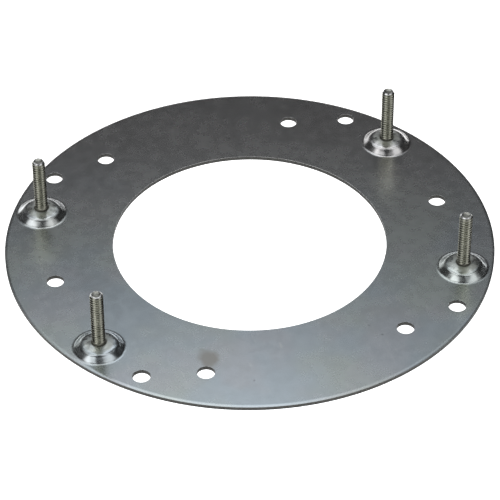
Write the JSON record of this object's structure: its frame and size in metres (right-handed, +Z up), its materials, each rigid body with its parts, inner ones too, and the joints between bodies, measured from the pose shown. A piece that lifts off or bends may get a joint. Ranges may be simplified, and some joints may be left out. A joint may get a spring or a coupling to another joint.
{
  "type": "motor adapter plate",
  "caption": "Flat sheet-steel ring with a wide centre opening, bolt holes on two circles, and upright threaded studs standing in pressed bosses.",
  "frame": {"origin": "centre of the ring on its flat underside", "axes": "+Z up through the centre opening, the way the studs point; +X through one of the six bolt holes, midway between two studs"},
  "size_m": [0.1816, 0.1816, 0.0261],
  "materials": {
    "zinc_sheet": "bright zinc-plated sheet, semi-gloss, faintly mottled",
    "stud_steel": "warm grey steel with a rolled thread"
  },
  "bodies": {
    "root": {"adapter_plate": "zinc_sheet", "stud_1": "stud_steel", "stud_2": "stud_steel", "stud_3": "stud_steel", "stud_4": "stud_steel"}
  },
  "joints": []
}
